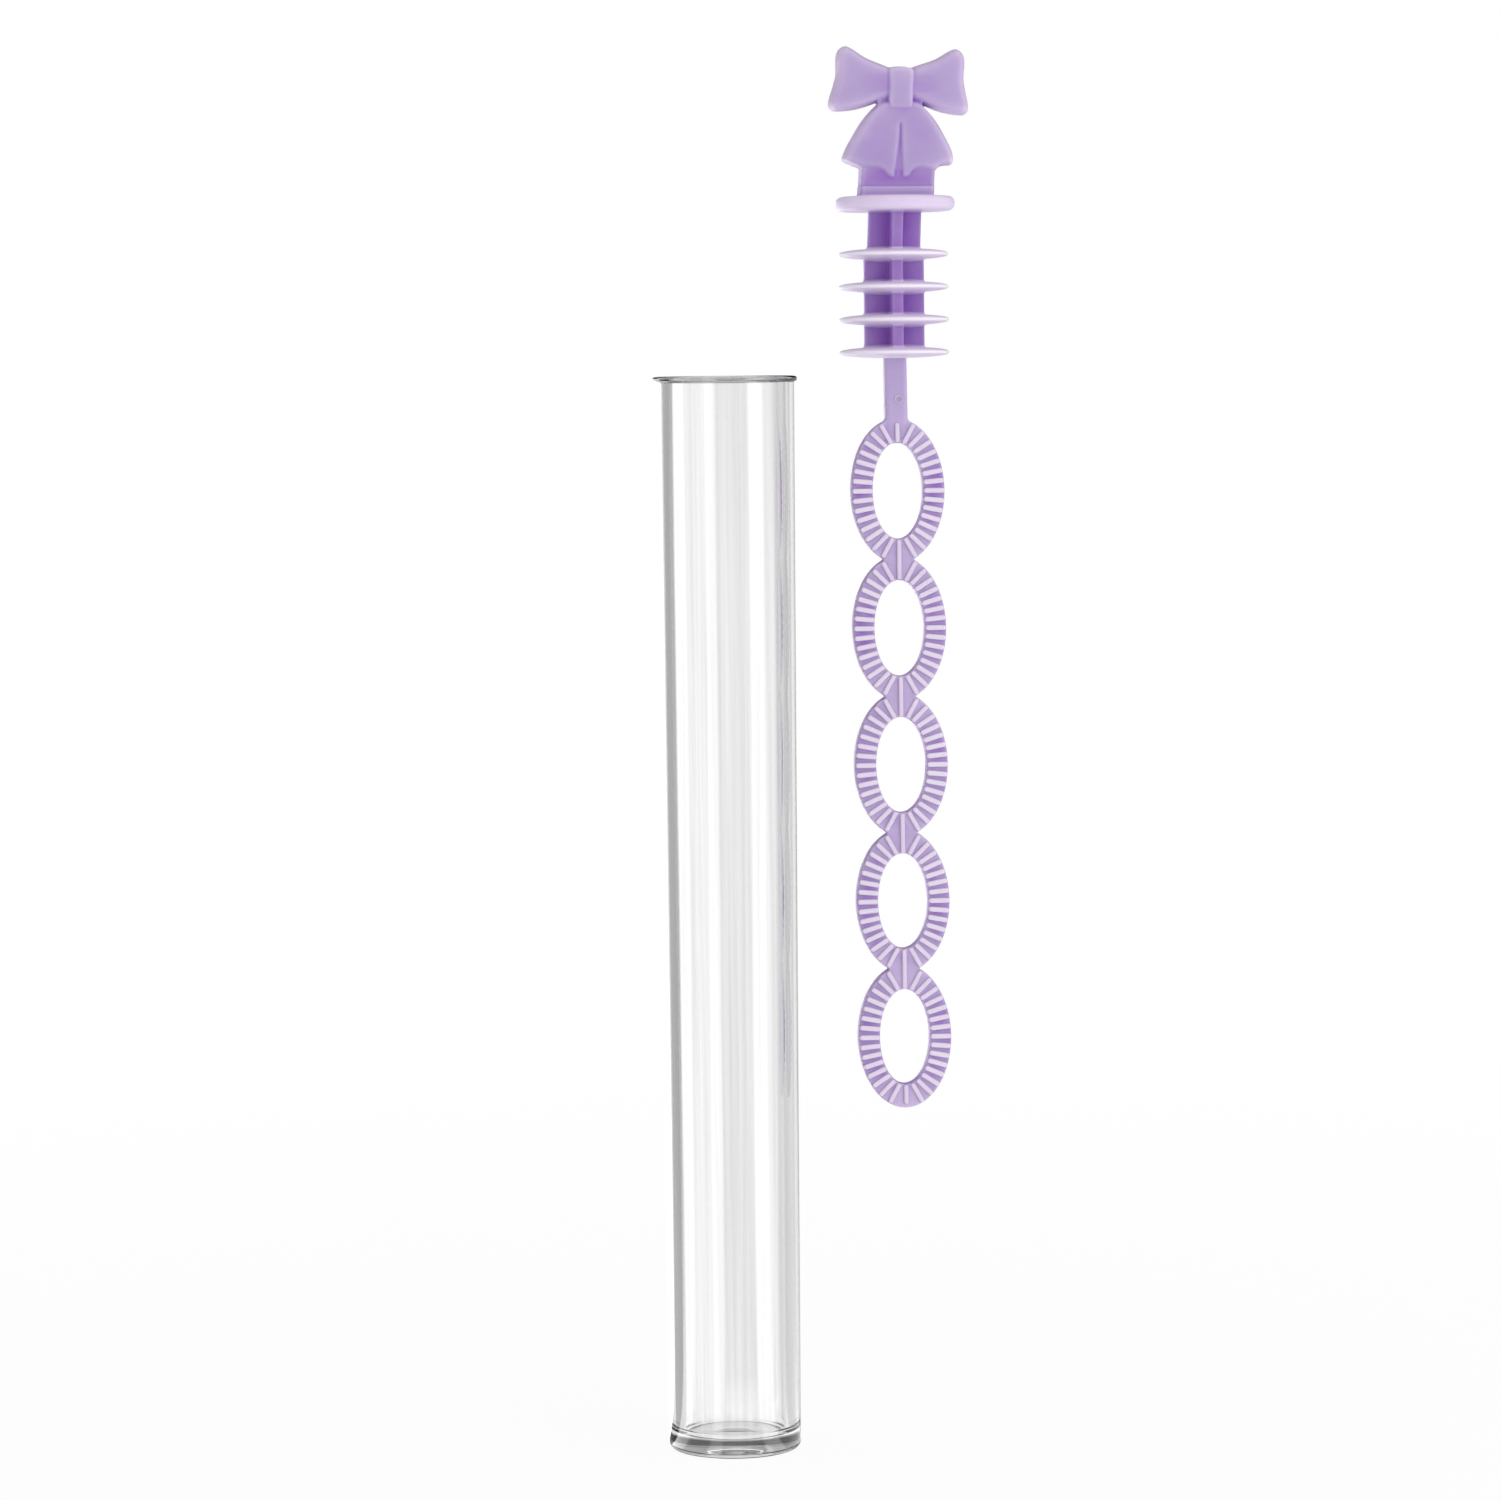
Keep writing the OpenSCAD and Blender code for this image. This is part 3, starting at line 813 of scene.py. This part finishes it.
def make_wand(material):
    grip = Field(*whole_box(GRIP_NODES), GRIP_STEP)
    add_flange(grip)
    add_spine(grip)
    for node in DISCS:
        add_disc(grip, node)
    add_neck(grip)
    add_tails(grip)
    add_wing(grip, "bow_wing_left", -1)
    add_wing(grip, "bow_wing_right", 1)
    add_roots(grip)
    add_knot(grip)
    wand_piece("wand_grip", [skin_part(grip, GRIP_TRIANGLES, grip_tone)], GRIP_NODES, material)
    low, high = whole_box(CHAIN_NODES)
    chain = Field(low, high + (0, 0, STEM_OVERLAP), CHAIN_STEP)
    add_chain(chain)
    parts = [skin_part(chain, CHAIN_TRIANGLES, chain_tone), rib_part(), gate_part()]
    wand_piece("wand_rings", parts, CHAIN_NODES, material)


# Tube

TUBE_SEGMENTS = 256
ARC_STEPS = 12
STRAIGHT_ROWS = 12
TUBE_WALL = 1.4
FLOOR_THICKNESS = 1.7
LIP_HEIGHT = 0.6
LIP_REACH = 0.3
MOUTH_ROUND = 0.15
FOOT_D = 13.0
FOOT_ROUND = 0.6
FLOOR_ROUND = 0.9
SEAT_LENGTH = 18.15
DIMPLE_D = 4.2
DIMPLE_DEPTH = 0.35
# Rows of points this close to the ends of a straight keep the shading of its roundings off it
END_ROWS = [0.02, 0.08]


def arc(cx, cz, radius, start, end):
    """Points along an arc of a half section, from one angle in degrees to another."""
    turns = np.radians(np.linspace(start, end, ARC_STEPS))
    return [(cx + radius * math.cos(t), cz + radius * math.sin(t)) for t in turns]


def straight(start, end):
    """Points between two ends of a straight, close together near both."""
    length = math.hypot(end[0] - start[0], end[1] - start[1])
    near = [d / length for d in END_ROWS if d < length / 2]
    shares = sorted(near + [1 - s for s in near] + list(np.linspace(0, 1, STRAIGHT_ROWS + 2)[1:-1]))
    return [(start[0] + s * (end[0] - start[0]), start[1] + s * (end[1] - start[1])) for s in shares]


def lathe(profile):
    """Points and faces of a half section turned about Z. Its first and last points lie on the axis."""
    segments = TUBE_SEGMENTS
    turns = np.linspace(0, 2 * math.pi, segments, endpoint=False)
    points = [(0, 0, profile[0][1])]
    for r, z in profile[1:-1]:
        points += [(r * math.cos(t), r * math.sin(t), z) for t in turns]
    points.append((0, 0, profile[-1][1]))
    faces = []
    for s in range(segments):
        n = (s + 1) % segments
        faces.append((0, 1 + n, 1 + s))
        for i in range(len(profile) - 3):
            a, b = 1 + i * segments, 1 + (i + 1) * segments
            faces.append((a + s, a + n, b + n, b + s))
        last = 1 + (len(profile) - 3) * segments
        faces.append((last + s, last + n, len(points) - 1))
    return points, faces


def make_tube(material):
    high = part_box("tube")[1]
    height, lip = high.z / MM, high.x / MM
    mouth = lip - LIP_REACH
    bore = mouth - TUBE_WALL
    foot = FOOT_D / 2
    foot_bore = foot - TUBE_WALL
    half_lip = LIP_HEIGHT / 2
    ball = ((DIMPLE_D / 2) ** 2 + DIMPLE_DEPTH ** 2) / (2 * DIMPLE_DEPTH)
    reach = math.degrees(math.asin(DIMPLE_D / 2 / ball))
    seat = (bore, height - SEAT_LENGTH)
    runs = [arc(0, DIMPLE_DEPTH - ball, ball, 90, 90 - reach),
            arc(foot - FOOT_ROUND, FOOT_ROUND, FOOT_ROUND, -90, 0),
            [(mouth, height - LIP_HEIGHT)],
            arc(lip - half_lip, height - half_lip, half_lip, -90, 90),
            arc(bore + MOUTH_ROUND, height - MOUTH_ROUND, MOUTH_ROUND, 90, 180),
            [seat],
            arc(foot_bore - FLOOR_ROUND, FLOOR_THICKNESS + FLOOR_ROUND, FLOOR_ROUND, 0, -90)]
    profile = list(runs[0])
    for run in runs[1:]:
        if math.dist(profile[-1], run[0]) > TINY:
            profile += straight(profile[-1], run[0])
            profile.append(run[0])
        profile += run[1:]
    profile += straight(profile[-1], (0, FLOOR_THICKNESS))
    profile.append((0, FLOOR_THICKNESS))
    points, faces = lathe(profile)
    mesh = bpy.data.meshes.new("tube")
    mesh.from_pydata(np.array(points) * MM, [], faces)
    mesh.polygons.foreach_set("use_smooth", np.ones(len(mesh.polygons), bool))
    mesh.update()
    new_piece("tube_clear", mesh, "tube", ["tube"], material)


# Materials

WHITE = (1, 1, 1, 1)
STUDIO_WHITE = (1, 0.98, 1, 1)
# Colours of the lavender plastic, from its deepest tone to its palest: its own colour lies near the
# middle, the deeper stops show painted shade and the paler ones painted light
LAVENDER_STOPS = [(0.2, (0.19, 0.03, 0.42)), (0.36, (0.32, 0.13, 0.55)), (0.5, (0.48, 0.38, 0.64)),
                  (0.6, (0.62, 0.51, 0.75)), (0.7, (0.77, 0.67, 0.86)), (0.8, (0.84, 0.77, 0.91)),
                  (0.95, (0.94, 0.89, 0.98))]
# Clouds in the lavender plastic, how they change its tone and roughness, and its grain
CLOUD_SCALE = 260
CLOUD_SPAN = (0.3, 0.7)
CLOUD_DRIFT = (-0.02, 0.02)
SATIN = (0.36, 0.48)
GRAIN_SCALE = 4200
# Streaks along the clear plastic, and how they change its roughness and its clearness
STREAK_SCALE = 1800
STREAK_STRETCH = (1, 1, 0.012)
HAZE_SPAN = (0.45, 0.8)
HAZE = (0, 0.08)
BODY_SPAN = (0.35, 0.65)
BODY = (0.85, 0.98)
# The lip takes a painted grey shade, from this height up and over this length
LIP_START = 0.1053
LIP_FADE = 0.0002
LIP_PAINTED_SHADE = 0.6
# Light that the tube lets through into its shadow
SHADOW_LIGHT = (0.86, 0.86, 0.86, 1)


class Tree:
    """The nodes of a material or of the world. What its functions give back can be linked on."""

    def __init__(self, owner):
        owner.use_nodes = True
        self.nodes = owner.node_tree.nodes
        self.link = owner.node_tree.links.new

    def add(self, kind, **inputs):
        """A node with some of its inputs set or linked; an underscore in a name stands for a space."""
        node = self.nodes.new("ShaderNode" + kind)
        for name, value in inputs.items():
            socket = node.inputs[name.replace("_", " ")]
            if isinstance(value, bpy.types.NodeSocket):
                self.link(value, socket)
            else:
                socket.default_value = value
        return node

    def math(self, operation, first, second):
        """Two values added, multiplied or the like."""
        node = self.nodes.new("ShaderNodeMath")
        node.operation = operation
        self.link(first, node.inputs[0])
        self.link(second, node.inputs[1])
        return node.outputs["Value"]

    def between(self, value, start, end, first, last):
        """Goes from a first number to a last one while a value goes from a start to an end."""
        node = self.add("MapRange", Value=value, From_Min=start, From_Max=end, To_Min=first, To_Max=last)
        return node.outputs["Result"]

    def ramp(self, value, stops):
        """Colours of (position, colour) stops at a value; a plain number is a grey."""
        node = self.add("ValToRGB", Fac=value)
        elements = node.color_ramp.elements
        while len(elements) < len(stops):
            elements.new(0.5)
        for element, (position, colour) in zip(elements, stops):
            element.position = position
            element.color = (*colour, 1) if isinstance(colour, tuple) else (colour, colour, colour, 1)
        return node.outputs["Color"]

    def noise(self, place, scale, detail):
        """Soft random clouds."""
        return self.add("TexNoise", Vector=place, Scale=scale, Detail=detail).outputs["Fac"]

    def mix(self, share, first, second):
        """Two shaders mixed by the second one's share."""
        node = self.add("MixShader", Fac=share)
        self.link(first, node.inputs[1])
        self.link(second, node.inputs[2])
        return node.outputs["Shader"]

    def emission(self, strength):
        """White light of a strength."""
        return self.add("Emission", Color=WHITE, Strength=strength).outputs["Emission"]


def lavender_plastic():
    """Soft moulded polyethylene: satin, with painted light where it is thin and painted shade in its
    grooves.
    """
    material = bpy.data.materials.new("lavender_plastic")
    tree = Tree(material)
    shader = tree.nodes["Principled BSDF"].inputs
    place = tree.add("TexCoord").outputs["Object"]
    cloud = tree.noise(place, CLOUD_SCALE, 3)
    # The tone on the mesh carries painted light and shade
    tone = tree.add("Attribute")
    tone.attribute_name = "tone"
    drift = tree.between(cloud, *CLOUD_SPAN, *CLOUD_DRIFT)
    drifted = tree.math("ADD", tone.outputs["Fac"], drift)
    tree.link(tree.ramp(drifted, LAVENDER_STOPS), shader["Base Color"])
    tree.link(tree.between(cloud, *CLOUD_SPAN, *SATIN), shader["Roughness"])
    bump = tree.add("Bump", Height=tree.noise(place, GRAIN_SCALE, 2), Strength=0.15, Distance=0.00003)
    tree.link(bump.outputs["Normal"], shader["Normal"])
    shader["Subsurface Weight"].default_value = 0.25
    shader["Subsurface Radius"].default_value = (1.0, 0.8, 1.1)
    shader["Subsurface Scale"].default_value = 0.0006
    shader["IOR"].default_value = 1.5
    shader["Specular IOR Level"].default_value = 0.16
    return material


def clear_plastic():
    """Clear moulded polystyrene, with faint marks drawn along the tube and a painted grey shade on its
    lip.
    """
    material = bpy.data.materials.new("clear_plastic")
    tree = Tree(material)
    principled = tree.nodes["Principled BSDF"]
    shader = principled.inputs
    place = tree.add("TexCoord").outputs["Object"]
    stretch = tree.add("Mapping", Vector=place, Scale=STREAK_STRETCH)
    streak = tree.noise(stretch.outputs["Vector"], STREAK_SCALE, 3)
    tree.link(tree.between(streak, *HAZE_SPAN, *HAZE), shader["Roughness"])
    bump = tree.add("Bump", Height=streak, Strength=0.1, Distance=0.00004)
    tree.link(bump.outputs["Normal"], shader["Normal"])
    body = tree.between(streak, *BODY_SPAN, *BODY)
    height = tree.add("SeparateXYZ", Vector=place).outputs["Z"]
    # Painted shade darkens the lip
    lip = tree.between(height, LIP_START, LIP_START + LIP_FADE, 1, LIP_PAINTED_SHADE)
    tree.link(tree.math("MULTIPLY", body, lip), shader["Base Color"])
    shader["Transmission Weight"].default_value = 1
    shader["IOR"].default_value = 1.59
    shadow = tree.add("LightPath").outputs["Is Shadow Ray"]
    open_air = tree.add("BsdfTransparent", Color=SHADOW_LIGHT)
    look = tree.mix(shadow, principled.outputs["BSDF"], open_air.outputs["BSDF"])
    tree.link(look, tree.nodes["Material Output"].inputs["Surface"])
    return material


# Stage: camera, floor, world and lamps

CAMERA_AZIMUTH = -6.2
CAMERA_ELEVATION = 4.09
CAMERA_ROLL = math.radians(0.597)
CAMERA_DISTANCE = 0.48196
CAMERA_CLIP = (0.01, 20)
AIM_RIGHT = 0.00216
AIM_HEIGHT = 0.06931
FOCAL_PIXELS = 4900
PHOTO_PIXELS = 1500
SENSOR = 36
FLOOR_RADIUS = 3.0
FLOOR_SIDES = 96
FLOOR_GAP = 0.00003
# Light that the floor throws up on the object, and that the studio throws from all round
FLOOR_GLOW = 0.9
AMBIENT = 0.6
# Share of the shadow that the camera sees, and the distances between which it fades out
SHADOW_SHARE = 0.06
SHADOW_REACH = (0.06, 0.3)
# A painted bright patch on the floor close in front of the tube, seen only as its foot mirrors it: its
# brightness, the distances to the front and from the tube's middle between which it sets in and ends
FOOT_GLOW = 2.5
FOOT_FRONT = (-0.012, -0.008)
FOOT_REACH = (0.03, 0.05)
# The mirrored floor carries a painted contact shadow, dark where the foot touches it, and brightens
# between these distances
CONTACT_SHADOW_SHARE = 0.15
CONTACT_REACH = (0.0068, 0.0085)
# Painted shadow on the floor under the foot, as the plastic shows it, and the distances between which it
# brightens
UNDER_SHADOW_SHARE = 0.8
UNDER_REACH = (0.0055, 0.0075)
# The cards' shades run out over the floor from the tube's two sides, this far from its middle
CARD_START = 0.0065
# Tall soft boxes round the studio as reflections see them: azimuth from the front and brightness
ROOM_STOPS = [(-180, 3.2), (-134, 3.2), (-127, 0.3), (-104, 0.3), (-100, 4), (-78, 4), (-73, 2.2),
              (-42, 2.2), (-38, 3.8), (-24, 3.8), (-20, 0.3), (30, 0.3), (35, 4), (57, 4), (62, 1.6),
              (90, 1.6), (95, 1.4), (120, 1.4), (126, 0.6), (168, 0.6), (180, 3.2)]
ROOM_TOP = 4.0
# The same round the studio as it is seen through the clear plastic: a grey card stands on each side
GLASS_STOPS = [(-180, 1), (-160, 1), (-157, 0.45), (-117, 0.45), (-109, 1), (105, 1), (113, 0.64),
               (151, 0.64), (158, 1), (180, 1)]
# Both darken towards the ceiling: height of the direction and share of the brightness
ROOM_CEILING = [(0, 1), (0.06, 1), (0.16, 0.15), (1, 0.15)]
GLASS_CEILING = [(0, 1), (0.03, 1), (0.25, 0.3), (1, 0.3)]
# Soft lamps: azimuth from the front, elevation, distance, width, height and power
KEY_LAMP = (38, 25, 0.7, 0.8, 0.8, 2.2)
FILL_LAMP = (-60, 15, 0.8, 0.4, 0.5, 0.35)


def away(azimuth, elevation):
    """Direction away from the object, at an azimuth from the front and an elevation in degrees."""
    a, e = math.radians(azimuth), math.radians(elevation)
    return Vector((math.sin(a) * math.cos(e), -math.cos(a) * math.cos(e), math.sin(e)))


def make_camera():
    """Camera at the photograph's place: aimed beside the tube, a little above, rolled a little."""
    back = away(CAMERA_AZIMUTH, CAMERA_ELEVATION)
    aim = away(CAMERA_AZIMUTH + 90, 0) * AIM_RIGHT + Vector((0, 0, AIM_HEIGHT))
    data = bpy.data.cameras.new("camera")
    data.sensor_width = SENSOR
    data.lens = SENSOR * FOCAL_PIXELS / PHOTO_PIXELS
    data.clip_start, data.clip_end = CAMERA_CLIP
    camera = bpy.data.objects.new("camera", data)
    turn = (-back).to_track_quat("-Z", "Y").to_matrix().to_4x4()
    roll = Matrix.Rotation(-CAMERA_ROLL, 4, "Z")
    camera.matrix_world = Matrix.Translation(aim + back * CAMERA_DISTANCE) @ turn @ roll
    bpy.context.scene.collection.objects.link(camera)
    bpy.context.scene.camera = camera


def room_strength(tree, direction, stops):
    """Brightness round the studio in a direction."""
    around = tree.add("TexGradient", Vector=direction)
    around.gradient_type = "RADIAL"
    levels = sorted(((azimuth / 360 + 0.25) % 1, level / ROOM_TOP) for azimuth, level in stops[:-1])
    first, last = levels[0], levels[-1]
    seam = last[1] + (first[1] - last[1]) * (1 - last[0]) / (1 - last[0] + first[0])
    ramp = tree.ramp(around.outputs["Fac"], [(0, seam)] + levels + [(1, seam)])
    strength = tree.add("Math")
    strength.operation = "MULTIPLY"
    tree.link(ramp, strength.inputs[0])
    strength.inputs[1].default_value = ROOM_TOP
    return strength.outputs["Value"]


def floor_material():
    """White as the camera sees it, with a soft shadow near the object. Diffuse light, the clear plastic
    and reflections each see the floor in their own way, with painted shadow at the foot and a painted
    bright patch before it."""
    material = bpy.data.materials.new("floor")
    tree = Tree(material)
    tree.nodes.remove(tree.nodes["Principled BSDF"])
    light = tree.add("LightPath").outputs
    place = tree.add("TexCoord").outputs["Object"]
    along = tree.add("SeparateXYZ", Vector=place).outputs
    length = tree.add("VectorMath", Vector=place)
    length.operation = "LENGTH"
    reach = length.outputs["Value"]

    lit = tree.add("BsdfDiffuse", Color=WHITE)
    glow = tree.add("Emission", Color=STUDIO_WHITE, Strength=FLOOR_GLOW)
    look = tree.mix(light["Is Diffuse Ray"], lit.outputs["BSDF"], glow.outputs["Emission"])

    under = tree.between(reach, *UNDER_REACH, UNDER_SHADOW_SHARE, 1)
    near = tree.between(along["X"], -CARD_START, CARD_START, CARD_START, -CARD_START)
    aside = tree.add("CombineXYZ", X=tree.math("ADD", along["X"], near), Y=along["Y"])
    cards = room_strength(tree, aside.outputs["Vector"], GLASS_STOPS)
    through = tree.emission(tree.math("MULTIPLY", cards, under))
    look = tree.mix(light["Is Transmission Ray"], look, through)

    share = tree.between(reach, *SHADOW_REACH, 1 - SHADOW_SHARE, 1)
    look = tree.mix(tree.math("MULTIPLY", light["Is Camera Ray"], share), look, tree.emission(1))

    front = tree.between(along["Y"], *FOOT_FRONT, FOOT_GLOW, 0)
    foot = tree.between(reach, *FOOT_REACH, front, 0)
    boxes = tree.math("MAXIMUM", room_strength(tree, place, ROOM_STOPS), foot)
    contact = tree.between(reach, *CONTACT_REACH, CONTACT_SHADOW_SHARE, 1)
    mirrored = tree.math("SUBTRACT", light["Is Glossy Ray"], light["Is Transmission Ray"])
    mirrored.node.use_clamp = True
    look = tree.mix(mirrored, look, tree.emission(tree.math("MULTIPLY", boxes, contact)))
    tree.link(look, tree.nodes["Material Output"].inputs["Surface"])
    return material


def make_floor():
    """A round floor just under the foot."""
    mesh = bpy.data.meshes.new("floor")
    turns = np.linspace(0, 2 * math.pi, FLOOR_SIDES, endpoint=False)
    rim = [(FLOOR_RADIUS * math.cos(t), FLOOR_RADIUS * math.sin(t), 0) for t in turns]
    mesh.from_pydata(rim, [], [tuple(range(len(rim)))])
    mesh.materials.append(floor_material())
    floor = bpy.data.objects.new("floor", mesh)
    floor.location.z = -FLOOR_GAP
    bpy.context.scene.collection.objects.link(floor)


def make_world():
    """White behind the object, and soft boxes under a grey ceiling in and through the plastic."""
    world = bpy.data.worlds.new("studio")
    bpy.context.scene.world = world
    tree = Tree(world)
    tree.nodes.clear()
    light = tree.add("LightPath").outputs
    place = tree.add("TexCoord").outputs["Generated"]
    height = tree.add("SeparateXYZ", Vector=place).outputs["Z"]
    look = tree.add("Background", Color=STUDIO_WHITE, Strength=AMBIENT).outputs["Background"]
    for seen, stops, ceiling in (("Is Glossy Ray", ROOM_STOPS, ROOM_CEILING),
                                 ("Is Transmission Ray", GLASS_STOPS, GLASS_CEILING)):
        strength = tree.math("MULTIPLY", room_strength(tree, place, stops), tree.ramp(height, ceiling))
        room = tree.add("Background", Color=WHITE, Strength=strength)
        look = tree.mix(light[seen], look, room.outputs["Background"])
    white = tree.add("Background", Color=WHITE)
    look = tree.mix(light["Is Camera Ray"], look, white.outputs["Background"])
    tree.add("OutputWorld", Surface=look)


def add_lamp(name, azimuth, elevation, distance, width, height, power):
    """A soft rectangular lamp that faces the object's middle and shows in nothing."""
    data = bpy.data.lights.new(name, "AREA")
    data.shape = "RECTANGLE"
    data.size = width
    data.size_y = height
    data.energy = power
    lamp = bpy.data.objects.new(name, data)
    back = away(azimuth, elevation)
    middle = (cad_low + cad_high) / 2
    turn = back.to_track_quat("Z", "Y").to_matrix().to_4x4()
    lamp.matrix_world = Matrix.Translation(middle + back * distance) @ turn
    lamp.visible_camera = False
    lamp.visible_glossy = False
    lamp.visible_transmission = False
    bpy.context.scene.collection.objects.link(lamp)


def make_stage():
    """Camera, floor, studio and lamps."""
    bpy.context.scene.view_settings.view_transform = "Standard"
    make_camera()
    make_floor()
    make_world()
    add_lamp("key", *KEY_LAMP)
    add_lamp("fill", *FILL_LAMP)


make_stage()
make_tube(clear_plastic())
make_wand(lavender_plastic())
